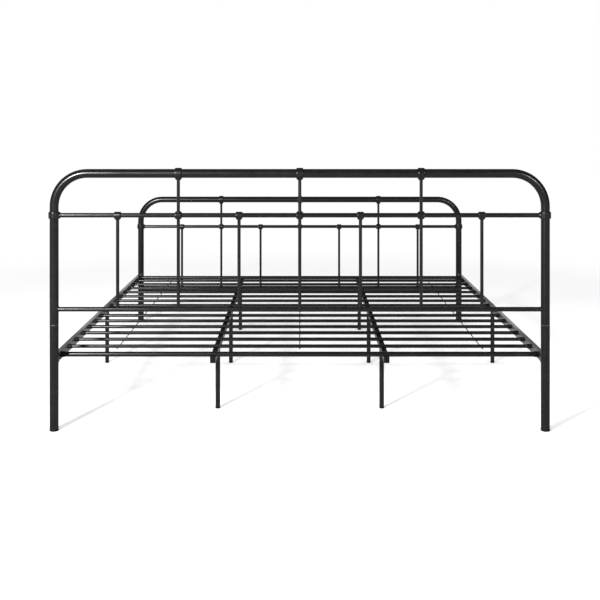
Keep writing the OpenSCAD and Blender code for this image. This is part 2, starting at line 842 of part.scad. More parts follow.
centre_rail_foot_half();  // centre_rail_right_foot
centre_rail_splices();
centre_rail_plugs();
splice_screws();
cross_bar(slat_y(0), end_bar_z, end_bar_d);  // end_bar_head
cross_bar(slat_y(slat_count + 1), end_bar_z, end_bar_d);  // end_bar_foot
for (i = [1 : slat_count])
    cross_bar(slat_y(i), slat_z, slat_d);
slat_sockets();
end_bar_sockets();
tie_wires();
side_support_legs();
centre_support_legs();
support_leg_studs();
support_leg_nuts();
support_leg_caps();
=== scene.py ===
# %% [markdown]
# # A knock-down metal bed frame
#
# The frame is steel tube, black castings and a few moulded plastic parts. Its straight tubes and bent hoops
# come in ready made, to exact sizes. This lesson adds what a maker's hand leaves on them: the cast collars,
# the weld beads, the moulded sockets and caps, the screws, and a satin black powder coat over the steel.

# %% Load the frame
import json
import math

import bmesh
import bpy
from bmesh.types import BMEdge, BMFace, BMVert
from mathutils import Matrix, Vector


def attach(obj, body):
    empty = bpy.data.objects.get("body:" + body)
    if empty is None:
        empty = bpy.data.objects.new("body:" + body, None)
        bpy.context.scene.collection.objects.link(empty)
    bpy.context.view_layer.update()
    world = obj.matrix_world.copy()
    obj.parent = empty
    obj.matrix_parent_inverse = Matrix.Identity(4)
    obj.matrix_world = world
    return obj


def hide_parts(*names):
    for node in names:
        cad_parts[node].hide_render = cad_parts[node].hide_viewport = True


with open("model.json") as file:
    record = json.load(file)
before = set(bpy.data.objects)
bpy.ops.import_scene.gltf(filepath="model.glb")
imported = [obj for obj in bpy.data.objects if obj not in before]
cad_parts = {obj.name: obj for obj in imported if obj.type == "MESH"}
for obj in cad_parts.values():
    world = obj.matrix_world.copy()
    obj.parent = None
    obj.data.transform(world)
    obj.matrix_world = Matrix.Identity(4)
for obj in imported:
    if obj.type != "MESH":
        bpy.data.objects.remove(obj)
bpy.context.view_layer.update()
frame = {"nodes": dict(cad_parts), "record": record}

# %% [markdown]
# ## The view
#
# The bed is seen square on from behind the headboard, at about chest height. The camera stays level, so the
# posts stay upright and parallel, and a lens shift brings the bed into the middle of the picture, as a view
# camera does. A long-ish lens keeps the far footboard from shrinking too much.

# %% Camera
EYE_HEIGHT = 1.213
EYE_X, EYE_Y = 0.001, -4.850
LENS = 58.06
LENS_SHIFT_DOWN = -0.2958

camera_data = bpy.data.cameras.new("camera")
camera_data.lens = LENS
camera_data.sensor_width = 36.0
camera_data.shift_y = LENS_SHIFT_DOWN
camera_data.clip_end = 100.0
camera = bpy.data.objects.new("camera", camera_data)
camera.location = (EYE_X, EYE_Y, EYE_HEIGHT)
camera.rotation_euler = (math.pi / 2, 0.0, 0.0)
bpy.context.scene.collection.objects.link(camera)
bpy.context.scene.camera = camera
print("camera at", tuple(round(v, 3) for v in camera.location), "lens", LENS)

# %% [markdown]
# ## Sizes
#
# Everything is in metres. X runs across the bed, the headboard is at -Y, and the floor is Z = 0. These are
# the frame's own sizes, named once and used by every piece below.

# %% The frame's sizes
MM = 0.001
POST_X, POST_Y, POST_R = 0.967, 1.040, 0.0175
RAIL_R, FOOT_RAIL_R, SPINDLE_R = 0.009, 0.016, 0.0065
SPINDLE_PITCH = 0.239
SHORT_SPINDLES = [n * SPINDLE_PITCH for n in (-3, -1, 1, 3)]
TALL_SPINDLES = [n * SPINDLE_PITCH for n in (-2, 0, 2)]
ALL_SPINDLES = sorted(SHORT_SPINDLES + TALL_SPINDLES)
# each panel: its Y, its hoop, middle rail and lower rail heights, and its lower rail's radius
PANELS = {
    "headboard": (-POST_Y, 1.0125, 0.848, 0.478, RAIL_R),
    "footboard": (POST_Y, 0.7445, 0.580, 0.203, FOOT_RAIL_R),
}
PLATFORM_Z = 0.292
SLAT_R, END_BAR_R = 0.0075, 0.010
SLAT_PITCH, END_BAR_Y = 0.128, 0.960
SLAT_YS = [n * SLAT_PITCH - END_BAR_Y for n in range(1, 15)]
SIDE_RAIL_IN, SIDE_RAIL_OUT, SIDE_RAIL_END = 0.9635, 0.9835, 1.021
SIDE_RAIL_BOTTOM = 0.257
CENTRE_RAIL_X, CENTRE_RAIL_W, CENTRE_RAIL_END = 0.348, 0.022, 0.980
CENTRE_RAIL_BOTTOM, CENTRE_RAIL_TOP = 0.251, 0.277
CENTRE_LEG_YS = (-0.738, 0.040, 0.818)
SIDE_LEG = (0.9735, 0.040)
print("slats at y =", [round(y, 3) for y in SLAT_YS])

# %% [markdown]
# ## Finishes
#
# Powder coat is a thin plastic skin baked on the steel. Close up it has a faint orange-peel ripple, and its
# gloss changes a little from place to place. One node group makes both, and each finish uses it with its own
# scale and depth, so the tubes, the castings and the plastic stay related without being the same. The box
# rails' coat is painted a lighter grey than the round tubes', a painted highlight for the light their flat
# faces catch.

# %% A node group for skin: ripple, fine grain and gloss variation
PATCH_SCALE, STREAK_SCALE = 9.0, 40.0


def link_nodes(tree, *pairs):
    for a, b in pairs:
        tree.links.new(a, b)


def new_noise(tree, scale, detail, roughness=0.5):
    noise = tree.nodes.new("ShaderNodeTexNoise")
    noise.inputs["Scale"].default_value = scale
    noise.inputs["Detail"].default_value = detail
    noise.inputs["Roughness"].default_value = roughness
    return noise


def make_skin_group():
    """Coordinates in; a height for bump, a gloss mask and a colour mask out."""
    group = bpy.data.node_groups.new("skin", "ShaderNodeTree")
    socket = group.interface.new_socket
    socket("Coordinates", in_out="INPUT", socket_type="NodeSocketVector")
    for name in ("Ripple Scale", "Grain Scale", "Grain Share"):
        socket(name, in_out="INPUT", socket_type="NodeSocketFloat")
    for name in ("Height", "Gloss Mask", "Colour Mask"):
        socket(name, in_out="OUTPUT", socket_type="NodeSocketFloat")
    start, end = group.nodes.new("NodeGroupInput"), group.nodes.new("NodeGroupOutput")
    ripple, grain = new_noise(group, 1.0, 2.0), new_noise(group, 1.0, 3.0, 0.6)
    patches = new_noise(group, PATCH_SCALE, 3.0)
    streaks = new_noise(group, STREAK_SCALE, 2.0)
    mix = group.nodes.new("ShaderNodeMix")
    link_nodes(
        group,
        (start.outputs["Coordinates"], ripple.inputs["Vector"]),
        (start.outputs["Coordinates"], grain.inputs["Vector"]),
        (start.outputs["Coordinates"], patches.inputs["Vector"]),
        (start.outputs["Coordinates"], streaks.inputs["Vector"]),
        (start.outputs["Ripple Scale"], ripple.inputs["Scale"]),
        (start.outputs["Grain Scale"], grain.inputs["Scale"]),
        (start.outputs["Grain Share"], mix.inputs["Factor"]),
        (ripple.outputs["Fac"], mix.inputs["A"]),
        (grain.outputs["Fac"], mix.inputs["B"]),
        (mix.outputs["Result"], end.inputs["Height"]),
        (patches.outputs["Fac"], end.inputs["Gloss Mask"]),
        (streaks.outputs["Fac"], end.inputs["Colour Mask"]),
    )
    return group


SKIN = make_skin_group()
print("node group:", SKIN.name)

# %% Build a finish from that group
# a noise mask rarely leaves this range, so it is stretched to the full range of a colour or a gloss
MASK_LOW, MASK_HIGH = 0.35, 0.65


def make_finish(name, dark, light, gloss, ripple, grain, share, depth, metallic=0.0, specular=0.5):
    """gloss is the lowest and highest roughness; depth is the bump's height in metres."""
    finish = bpy.data.materials.new(name)
    finish.use_nodes = True
    tree = finish.node_tree
    shader = tree.nodes["Principled BSDF"]
    shader.inputs["Metallic"].default_value = metallic
    shader.inputs["Specular IOR Level"].default_value = specular
    place = tree.nodes.new("ShaderNodeTexCoord")
    skin = tree.nodes.new("ShaderNodeGroup")
    skin.node_tree = SKIN
    skin.inputs["Ripple Scale"].default_value = ripple
    skin.inputs["Grain Scale"].default_value = grain
    skin.inputs["Grain Share"].default_value = share
    colour = tree.nodes.new("ShaderNodeValToRGB")
    for stop, at, tone in zip(colour.color_ramp.elements, (MASK_LOW, MASK_HIGH), (dark, light)):
        stop.position, stop.color = at, (*tone, 1.0)
    rough = tree.nodes.new("ShaderNodeMapRange")
    rough.inputs["From Min"].default_value = MASK_LOW
    rough.inputs["From Max"].default_value = MASK_HIGH
    rough.inputs["To Min"].default_value = gloss[0]
    rough.inputs["To Max"].default_value = gloss[1]
    bump = tree.nodes.new("ShaderNodeBump")
    bump.inputs["Distance"].default_value = depth
    bump.inputs["Strength"].default_value = 1.0
    link_nodes(
        tree,
        (place.outputs["Object"], skin.inputs["Coordinates"]),
        (skin.outputs["Colour Mask"], colour.inputs["Fac"]),
        (skin.outputs["Gloss Mask"], rough.inputs["Value"]),
        (skin.outputs["Height"], bump.inputs["Height"]),
        (colour.outputs["Color"], shader.inputs["Base Color"]),
        (rough.outputs["Result"], shader.inputs["Roughness"]),
        (bump.outputs["Normal"], shader.inputs["Normal"]),
    )
    return finish


POWDER_COAT = make_finish(
    "satin_black_powder_coat", (0.0052, 0.0047, 0.0047), (0.0072, 0.0064, 0.0064), (0.22, 0.28),
    ripple=220.0, grain=900.0, share=0.25, depth=0.000006, specular=0.42)
# painted highlight: the box rails' coat has a lighter grey base colour than the round tubes', standing in for
# the light that their flat faces catch
PAINTED_LIGHT_RAIL_COAT = make_finish(
    "box_rail_coat_with_painted_highlight", (0.072, 0.068, 0.066), (0.082, 0.077, 0.075), (0.20, 0.26),
    ripple=220.0, grain=900.0, share=0.25, depth=0.000006, specular=0.9)
CAST_COAT = make_finish(
    "powder_coat_over_casting", (0.0050, 0.0045, 0.0045), (0.0075, 0.0066, 0.0066), (0.24, 0.32),
    ripple=170.0, grain=700.0, share=0.45, depth=0.00006, specular=0.45)
MOULDED_BLACK = make_finish(
    "moulded_black_plastic", (0.0020, 0.0020, 0.0020), (0.0032, 0.0032, 0.0032), (0.48, 0.58),
    ripple=500.0, grain=1600.0, share=0.8, depth=0.00003, specular=0.2)
ZINC_PLATE = make_finish(
    "zinc_plate", (0.44, 0.45, 0.45), (0.58, 0.58, 0.56), (0.28, 0.42),
    ripple=400.0, grain=1500.0, share=0.5, depth=0.00003, metallic=1.0)
SLOT_FINISH = {
    "coated_steel": POWDER_COAT,
    "coated_casting": CAST_COAT,
    "black_plastic": MOULDED_BLACK,
    "plated_steel": ZINC_PLATE,
}
print("finishes:", [m.name for m in SLOT_FINISH.values()])

# %% Coat the tubes that come with the frame
for entry in frame["record"]["subparts"]:
    tube = frame["nodes"][entry["node"]]
    tube.data.materials.clear()
    tube.data.materials.append(SLOT_FINISH[entry["material_slot"]])

# %% [markdown]
# ## Bench tools
#
# A turned shape is a profile spun round an axis, as on a lathe. Collars, sockets, caps and screw heads
# are all turned. Each part is made on its own at the bench, round its own origin, and then set down in its
# place among the others of its kind.

# %% Helpers that every piece uses


def turned(profile, segments):
    """Spins (radius, height) points round Z and welds the seam and the poles."""
    part = bmesh.new()
    points = [part.verts.new((r, 0.0, z)) for r, z in profile]
    edges = [part.edges.new(pair) for pair in zip(points, points[1:])]
    bmesh.ops.spin(part, geom=points + edges, cent=(0, 0, 0), axis=(0, 0, 1), dvec=(0, 0, 0),
                   angle=2 * math.pi, steps=segments, use_merge=True, use_duplicate=False)
    bmesh.ops.remove_doubles(part, verts=part.verts[:], dist=1e-6)
    return part


def only(kind, geom):
    """The points, edges or faces among what an operator gives back."""
    return [g for g in geom if isinstance(g, kind)]


def round_corners(bm, verts, radius, segments):
    """Rounds the corners of a flat outline."""
    bmesh.ops.bevel(bm, geom=verts, offset=radius, offset_type="OFFSET", segments=segments, profile=0.5,
                    affect="VERTICES", material=-1)


def set_down(bm, part, place=Matrix()):
    """Moves a part to its place and adds it to the others."""
    bmesh.ops.transform(part, matrix=place, verts=part.verts[:])
    carrier = bpy.data.meshes.new("carrier")
    part.to_mesh(carrier)
    part.free()
    bm.from_mesh(carrier)
    bpy.data.meshes.remove(carrier)


def finish_piece(name, bm, slot, replaced=(), sharp=38.0, smooth_levels=0, coat=None):
    """Turns a bmesh into a finished piece of the bed, in its slot's own finish unless a coat is given."""
    bmesh.ops.remove_doubles(bm, verts=bm.verts[:], dist=1e-7)
    bmesh.ops.recalc_face_normals(bm, faces=bm.faces[:])
    mesh = bpy.data.meshes.new(name)
    bm.to_mesh(mesh)
    bm.free()
    mesh.polygons.foreach_set("use_smooth", [True] * len(mesh.polygons))
    if sharp:
        mesh.set_sharp_from_angle(angle=math.radians(sharp))
    piece = bpy.data.objects.new(name, mesh)
    bpy.context.scene.collection.objects.link(piece)
    mesh.materials.append(coat or SLOT_FINISH[slot])
    if smooth_levels:
        smoother = piece.modifiers.new("round_off", "SUBSURF")
        smoother.levels = smoother.render_levels = smooth_levels
    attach(piece, "root")
    if replaced:
        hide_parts(*replaced)
    print(name, "-", len(mesh.vertices), "points,", len(mesh.polygons), "faces")
    return piece


def standing(x, y, z, towards=(0, 0, 1), turn=0.0):
    """A place whose own Z points towards the given direction."""
    up = Vector(towards).to_track_quat("Z", "Y").to_matrix().to_4x4()
    return Matrix.Translation((x, y, z)) @ up @ Matrix.Rotation(turn, 4, "Z")


print("bench tools ready")

# %% [markdown]
# ## Cast collars
#
# On the real frame the joints between spindles and rails are dressed with castings poured around the tubes: a
# chamfered band round the rail, from which a short flared arm runs down, or up and down, along the spindle.
# A band alone is a turned ring. To grow an arm from it, a patch of its faces is opened, the edge of the
# opening is extruded in steps, and each step is pulled towards a circle. Subdivision then rounds everything
# as sand casting and a coat of powder do.

# %% Shape one casting
BAND_STAND, BAND_HALF, ARM_LIP = 0.00495, 0.0135, 0.0018
# how deep the band's inside hides, how far in its chamfer starts, and how high and how far its end leans
BAND_HIDE, BAND_CHAMFER, BAND_END_H, BAND_LEAN = 0.0006, 0.0016, 0.0022, 0.0003
LONG_ARM, SHORT_ARM = 0.009, 0.0068
RING_STEPS = 24
# a face nearer the band's outside than this is one of its outer faces
OUTER_DEPTH = 0.001
# each step of an arm: how far along it, how round, and how wide against its lip
ARM_STEPS = [(0.06, 0.05, 1.30), (0.30, 0.60, 1.22), (0.60, 0.92, 1.08), (0.85, 1.0, 1.02),
             (1.0, 1.0, 0.99), (1.0, 1.0, 0.90), (1.0, 1.0, 0.62)]


def band_profile(tube_r):
    """The ring's closed outline as (along the tube, radius); its inside hides just under the tube's skin."""
    outer, hidden, end = tube_r + BAND_STAND, tube_r - BAND_HIDE, tube_r + BAND_END_H
    flat = BAND_HALF - BAND_CHAMFER
    chamfer = [(BAND_HALF - BAND_LEAN, outer - BAND_CHAMFER), (BAND_HALF, end), (BAND_HALF, hidden)]
    return ([(-x, r) for x, r in reversed(chamfer)]
            + [(x, outer) for x in (-flat, -BAND_HALF / 2, 0.0, BAND_HALF / 2, flat)]
            + chamfer)


def grow_arm(bm, faces, side, tube_r, arm_r, half_arc, reach):
    """Opens a patch on the band towards +Z or -Z and draws it out into a flared arm, reach past the tube."""
    outer = tube_r + BAND_STAND
    patch = []
    for face in faces:
        c = face.calc_center_median()
        if abs(c.x) < BAND_HALF - BAND_CHAMFER and math.hypot(c.y, c.z) > outer - OUTER_DEPTH:
            if abs(math.atan2(c.y, side * c.z)) < half_arc:
                patch.append(face)
    bmesh.ops.delete(bm, geom=patch, context="FACES")
    rim = [e for e in bm.edges if e.is_boundary]
    lip = arm_r + ARM_LIP
    end = tube_r + reach
    for along, round_off, wide in ARM_STEPS:
        step = bmesh.ops.extrude_edge_only(bm, edges=rim)["geom"]
        rim = [e for e in only(BMEdge, step) if e.is_boundary]
        for v in only(BMVert, step):
            angle = math.atan2(v.co.y, v.co.x)
            target = Vector((math.cos(angle) * lip * wide, math.sin(angle) * lip * wide, v.co.z))
            v.co = v.co.lerp(target, round_off)
            start = v.co.z
            v.co.z = start + (side * end - start) * along
    bmesh.ops.contextual_create(bm, geom=rim)


def casting(tube_r, arm_r, sides, half_arc, reach):
    """A collar round a tube along X, with an arm of radius arm_r towards each side."""
    bm = bmesh.new()
    outline = [bm.verts.new((x, 0.0, r)) for x, r in band_profile(tube_r)]
    edges = [bm.edges.new((a, b)) for a, b in zip(outline, outline[1:] + outline[:1])]
    bmesh.ops.spin(bm, geom=outline + edges, cent=(0, 0, 0), axis=(1, 0, 0), dvec=(0, 0, 0),
                   angle=2 * math.pi, steps=RING_STEPS, use_merge=True, use_duplicate=False)
    bmesh.ops.remove_doubles(bm, verts=bm.verts[:], dist=1e-6)
    for side in sides:
        grow_arm(bm, bm.faces[:], side, tube_r, arm_r, half_arc, reach)
    return bm


def pour(name, pattern, places, node):
    """Copies a pattern to every place that it is poured at."""
    bm = bmesh.new()
    for place in places:
        set_down(bm, pattern.copy(), place)
    pattern.free()
    return finish_piece(name, bm, "coated_casting", (node,), sharp=0, smooth_levels=2)


NARROW_ARC, WIDE_ARC = math.radians(31), math.radians(46)
pour("cast_top_collars", casting(POST_R, SPINDLE_R, (-1,), NARROW_ARC, LONG_ARM),
     [Matrix.Translation((x, y, hoop)) for y, hoop, *_ in PANELS.values() for x in TALL_SPINDLES],
     "top_collars")
pour("cast_tees", casting(RAIL_R, SPINDLE_R, (-1,), WIDE_ARC, LONG_ARM),
     [Matrix.Translation((x, y, mid)) for y, _, mid, *_ in PANELS.values() for x in SHORT_SPINDLES],
     "tee_collars")
pour("cast_crosses", casting(RAIL_R, SPINDLE_R, (-1, 1), WIDE_ARC, SHORT_ARM),
     [Matrix.Translation((x, y, mid)) for y, _, mid, *_ in PANELS.values() for x in TALL_SPINDLES],
     "cross_collars")
# a post collar lies on its side: its band is round the upright post, and its arm points at the other post
pour("cast_post_collars", casting(POST_R, RAIL_R, (-1,), WIDE_ARC, SHORT_ARM),
     [Matrix.Translation((x, y, mid)) @ Matrix.Rotation(math.copysign(math.pi / 2, x), 4, "Y")
      for y, _, mid, *_ in PANELS.values() for x in (-POST_X, POST_X)],
     "post_collars")

# %% [markdown]
# ## Weld beads
#
# Where there is no casting the tubes are plainly welded. A bead is a thin rope of metal that follows the
# saddle-shaped line where one tube meets another. It is made as a turned ring round the branch tube, with
# small ripples, and each of its points is then lifted to the height of the other tube's surface.

# %% Beads round the tube joints
BEAD, POST_BEAD = 0.0017, 0.0020
RIPPLE, POST_RIPPLES = 0.10, 24


def saddle_bead(branch_r, run_r, size=BEAD, steps=64, ripples=16):
    """A bead round a branch along local Z that stands on a run tube along local X."""
    bead = bmesh.new()
    ring = bmesh.ops.create_circle(
        bead, cap_ends=False, segments=8, radius=size,
        matrix=Matrix.Translation((branch_r, 0, 0)) @ Matrix.Rotation(math.pi / 2, 4, "X"))["verts"]
    bmesh.ops.spin(bead, geom=ring + bead.edges[:], cent=(0, 0, 0), axis=(0, 0, 1), dvec=(0, 0, 0),
                   angle=2 * math.pi, steps=steps, use_merge=True, use_duplicate=False)
    bmesh.ops.remove_doubles(bead, verts=bead.verts[:], dist=1e-7)
    for v in bead.verts:
        angle = math.atan2(v.co.y, v.co.x)
        centre = Vector((branch_r * math.cos(angle), branch_r * math.sin(angle), 0))
        swell = 1.0 + RIPPLE * math.sin(angle * ripples)
        v.co = centre + (v.co - centre) * swell
        v.co.z += math.sqrt(max(run_r ** 2 - (branch_r * math.sin(angle)) ** 2, 0.0))
    return bead


for panel, (y, _, _, low, low_r) in PANELS.items():
    bm = bmesh.new()
    for x in ALL_SPINDLES:
        set_down(bm, saddle_bead(SPINDLE_R, low_r), Matrix.Translation((x, y, low)))
    for x in (-POST_X, POST_X):
        inwards = Matrix.Rotation(math.copysign(math.pi / 2, -x), 4, "Y")
        bead = saddle_bead(low_r, POST_R, size=POST_BEAD, ripples=POST_RIPPLES)
        set_down(bm, bead, Matrix.Translation((x, y, low)) @ inwards)
    finish_piece(f"{panel}_weld_beads", bm, "coated_steel", sharp=0)

# %% [markdown]
# ## Tie wires
#
# Thin wires run under the slats from head to foot and stop them sliding apart. Each crossing has a small
# flat blob of weld, which here is a squashed ball at every meeting of wire and slat.

# %% Spot welds where the wires cross the slats
WIRE_XS, WIRE_Z = (-0.757, 0.0, 0.757), 0.275
BLOB_RADII, BLOB_RISE = (0.0036, 0.0050, 0.0018), 0.0016
bm = bmesh.new()
for x in WIRE_XS:
    for y in SLAT_YS:
        squash = Matrix.Translation((x, y, WIRE_Z + BLOB_RISE)) @ Matrix.Diagonal((*BLOB_RADII, 1))
        bmesh.ops.create_icosphere(bm, subdivisions=2, radius=1.0, matrix=squash)
finish_piece("tie_wire_welds", bm, "coated_steel", sharp=0)

# %% [markdown]
# ## Side rails
#
# Each side rail is rolled rectangular tube, cut in half so that the bed ships flat, and joined over an inner
# sleeve. A rectangle with its corners rounded is drawn, pulled out to length, and each cut end is set in to
# show the tube's wall. The sawn edges are broken slightly, which leaves a fine line where the halves meet.

# %% Side rail halves
SAWN_EDGE = 0.0004


def box_rail(bm, x, bottom, top, width, y_start, y_end, corner=0.0025, wall=0.0015, depth=0.03):
    """A length of rectangular tube along Y with open, set-in ends."""
    half = width / 2
    corners = [bm.verts.new((x + sx * half, y_start, z)) for sx, z in
               ((-1, bottom), (1, bottom), (1, top), (-1, top))]
    bm.faces.new(corners)
    round_corners(bm, corners, corner, 5)
    near = bm.faces[:][0]
    out = bmesh.ops.extrude_face_region(bm, geom=[near])["geom"]
    bmesh.ops.translate(bm, vec=(0, y_end - y_start, 0), verts=only(BMVert, out))
    far = only(BMFace, out)[0]
    forwards = 1 if y_end > y_start else -1
    for end, into in ((near, forwards), (far, -forwards)):
        rim = bmesh.ops.inset_region(bm, faces=[end], thickness=SAWN_EDGE, depth=0.0, use_even_offset=True)
        for f in rim["faces"]:
            for v in f.verts:
                if v not in end.verts:
                    v.co.y += into * SAWN_EDGE
        bmesh.ops.inset_region(bm, faces=[end], thickness=wall - SAWN_EDGE, depth=0.0, use_even_offset=True)
        pushed = bmesh.ops.extrude_face_region(bm, geom=[end])["geom"]
        bmesh.ops.translate(bm, vec=(0, into * depth, 0), verts=only(BMVert, pushed))
        bmesh.ops.delete(bm, geom=[end], context="FACES_ONLY")


for side, sign in (("left", -1), ("right", 1)):
    for end, y_end in (("head", -SIDE_RAIL_END), ("foot", SIDE_RAIL_END)):
        bm = bmesh.new()
        box_rail(bm, sign * (SIDE_RAIL_IN + SIDE_RAIL_OUT) / 2, SIDE_RAIL_BOTTOM, PLATFORM_Z,
                 SIDE_RAIL_OUT - SIDE_RAIL_IN, 0.0, y_end)
        # the rail tubes get the coat painted lighter grey, a painted highlight
        finish_piece(f"side_rail_{side}_{end}_tube", bm, "coated_steel", (f"side_rail_{side}_{end}",),
                     sharp=50, coat=PAINTED_LIGHT_RAIL_COAT)
print("side rails run to y =", SIDE_RAIL_END)

# %% [markdown]
# ## Slat sockets
#
# Each slat ends in a moulded black cup pegged into the side rail. The cup is turned: a flange against the
# rail, a slightly tapered barrel and a rounded lip where the slat goes in. Shallow ribs along the barrel are
# what a mould needs to give the thin wall its stiffness.

# %% Sockets on the side rails
SOCKET_L = 0.020
SOCKET_WALL, SOCKET_PLAY, RIBS_FROM = 0.0018, 0.0001, 0.003
# how far the ribs and the hollows between them lie below the flange's radius
RIB_DEPTH, HOLLOW_DEPTH = 0.0001, 0.0006


def socket_profile(outer, bore):
    return [(0.0, 0.0), (outer, 0.0), (outer, 0.0016), (outer - 0.0007, 0.0021), (outer - 0.0004, 0.0032),
            (outer - 0.0006, SOCKET_L - 0.0034), (outer, SOCKET_L - 0.0028), (outer, SOCKET_L - 0.0008),
            (outer - 0.0007, SOCKET_L - 0.0001), (bore + 0.0003, SOCKET_L), (bore, SOCKET_L - 0.0005),
            (bore - 0.0004, SOCKET_L - 0.004), (bore - 0.0004, 0.0032), (0.0, 0.0032)]


def socket(bm, x, y, z, bar_r):
    outer = bar_r + SOCKET_WALL
    cup = turned(socket_profile(outer, bar_r + SOCKET_PLAY), 36)
    for v in cup.verts:
        r = v.co.xy.length
        if RIBS_FROM < v.co.z < SOCKET_L - RIBS_FROM and r > bar_r + SOCKET_WALL / 2:
            rib = round(math.degrees(math.atan2(v.co.y, v.co.x)) / 10) % 3 == 0
            v.co.xy *= (outer - (RIB_DEPTH if rib else HOLLOW_DEPTH)) / r
    set_down(bm, cup, standing(x, y, z, (-1, 0, 0) if x > 0 else (1, 0, 0)))


bm = bmesh.new()
for x in (-SIDE_RAIL_IN, SIDE_RAIL_IN):
    for y in SLAT_YS:
        socket(bm, x, y, PLATFORM_Z - SLAT_R, SLAT_R)
finish_piece("moulded_slat_sockets", bm, "black_plastic", ("slat_sockets",), sharp=45)
bm = bmesh.new()
for x in (-SIDE_RAIL_IN, SIDE_RAIL_IN):
    for y in (-END_BAR_Y, END_BAR_Y):
        socket(bm, x, y, PLATFORM_Z - END_BAR_R, END_BAR_R)
finish_piece("moulded_end_bar_sockets", bm, "black_plastic", ("end_bar_sockets",), sharp=45)

# %% [markdown]
# ## Feet
#
# The four posts and the eight thin support legs stand on moulded caps whose spigots push into the tubes. They
# are turned, with a rounded lower edge, so that they don't cut the floor, and a small groove where the mould
# closed.

# %% Post caps and leg caps
CAP_PROFILE = [(0.0, 0.8), (8.6, 0.8), (9.4, 0.0), (15.0, 0.0), (16.6, 0.6), (17.6, 1.8), (18.0, 3.4),
               (18.0, 5.6), (17.7, 5.9), (17.7, 6.1), (18.0, 6.4), (18.0, 7.3), (17.5, 8.0), (15.9, 8.0),
               (15.8, 9.0), (15.8, 26.0), (15.2, 28.0), (0.0, 28.0)]
LEG_CAP_PROFILE = [(0.0, 0.6), (5.0, 0.6), (5.6, 0.0), (7.4, 0.0), (9.2, 0.5), (10.1, 1.5), (10.4, 2.8),
                   (10.4, 5.0), (10.2, 5.2), (10.4, 5.4), (10.4, 6.4), (10.1, 7.0), (8.7, 7.0),
                   (8.6, 7.6), (8.6, 21.6), (8.1, 23.0), (0.0, 23.0)]

bm = bmesh.new()
for x in (-POST_X, POST_X):
    for y in (-POST_Y, POST_Y):
        set_down(bm, turned([(r * MM, z * MM) for r, z in CAP_PROFILE], 48), standing(x, y, 0.0))
finish_piece("moulded_post_caps", bm, "black_plastic", ("corner_foot_caps",), sharp=40)
bm = bmesh.new()
leg_places = [(s * SIDE_LEG[0], SIDE_LEG[1]) for s in (-1, 1)]
leg_places += [(s * CENTRE_RAIL_X, y) for s in (-1, 1) for y in CENTRE_LEG_YS]
for x, y in leg_places:
    set_down(bm, turned([(r * MM, z * MM) for r, z in LEG_CAP_PROFILE], 40), standing(x, y, 0.0))
finish_piece("moulded_leg_caps", bm, "black_plastic", ("support_leg_caps",), sharp=40)

# %% [markdown]
# ## Screws and nuts
#
# The frame is bolted with button-head screws that take a hex key. The head is turned, and the points of its
# recess are pushed out to a hexagon. The thread that shows beyond a nut is turned too, as a row of fine
# ridges.

# %% Turn a screw and a nut
HEAD_R, HEAD_H, SHANK_R = 0.0054, 0.0033, 0.003
KEY_FLATS, KEY_FLOOR, KEY_REACH = 0.0039, 0.0012, 0.0022
THREAD_PITCH, THREAD_DEPTH = 0.001, 0.0004
NUT_FLATS, NUT_H, NUT_BORE_R = 0.0099, 0.0051, 0.0031
# the share of a nut's width that its face keeps, its corners' chamfer, and its bore's chamfer
NUT_FACE, NUT_CHAMFER, BORE_CHAMFER_W, BORE_CHAMFER_H = 0.97, 0.0007, 0.0004, 0.0003


def hexagon_reach(point, flats):
    """How far from the axis a hexagon's side is, in that point's direction."""
    off_flat = (math.atan2(point.y, point.x) % (math.pi / 3)) - math.pi / 6
    return (flats / 2) / math.cos(off_flat)


def to_hexagon(verts, limit, flats):
    """Pushes the points inside a radius out to a hexagon with that width across its flats."""
    for v in verts:
        r = v.co.xy.length
        if 1e-6 < r < limit:
            v.co.xy *= hexagon_reach(v.co, flats) / r


def screw(bm, place, length, thread_from=0.004):
    """Button head above local Z = 0 and a shank below it, threaded from thread_from down."""
    head = [(0.0, KEY_FLOOR), (0.00195, KEY_FLOOR), (0.00196, HEAD_H - 0.0002), (0.0028, HEAD_H),
            (0.0036, HEAD_H - 0.0002), (0.0046, HEAD_H - 0.0011), (0.0052, HEAD_H - 0.0021),
            (HEAD_R, HEAD_H - 0.0028), (0.0052, 0.0), (SHANK_R, 0.0)]
    shank = [(SHANK_R, -thread_from)]
    ridges = int((length - thread_from) / THREAD_PITCH)
    for n in range(ridges):
        z = -thread_from - n * THREAD_PITCH
        shank += [(SHANK_R - THREAD_DEPTH, z - THREAD_PITCH / 2), (SHANK_R, z - THREAD_PITCH)]
    shank += [(SHANK_R - 0.0005, -length), (0.0, -length)]
    part = turned(head + shank, 24)
    # only the recess has points nearer the axis than KEY_REACH
    to_hexagon(part.verts, KEY_REACH, KEY_FLATS)
    set_down(bm, part, place)


def nut(bm, place, flats, height, bore_r):
    """Hexagon nut standing on local Z = 0, with its corners turned down at both faces."""
    corner, face_r = flats / math.sqrt(3), flats / 2 * NUT_FACE
    throat_r = bore_r + BORE_CHAMFER_W
    part = turned([(bore_r, BORE_CHAMFER_H), (throat_r, 0.0), (face_r, 0.0), (corner, NUT_CHAMFER),
                   (corner, height - NUT_CHAMFER), (face_r, height), (throat_r, height),
                   (bore_r, height - BORE_CHAMFER_H), (bore_r, BORE_CHAMFER_H)], 24)
    for v in part.verts:
        r = v.co.xy.length
        if r > flats / 2:
            v.co.xy *= min(1.0, hexagon_reach(v.co, flats) / r)
    set_down(bm, part, place)


BOLT_YS, BOLT_Z, BOLT_L = (1.007, 0.989), 0.2745, 0.0311
LUG_IN = 0.9595
SPLICE_SCREW_Y, LEG_SCREW_Z, SHORT_SCREW_L = 0.110, 0.386, 0.012
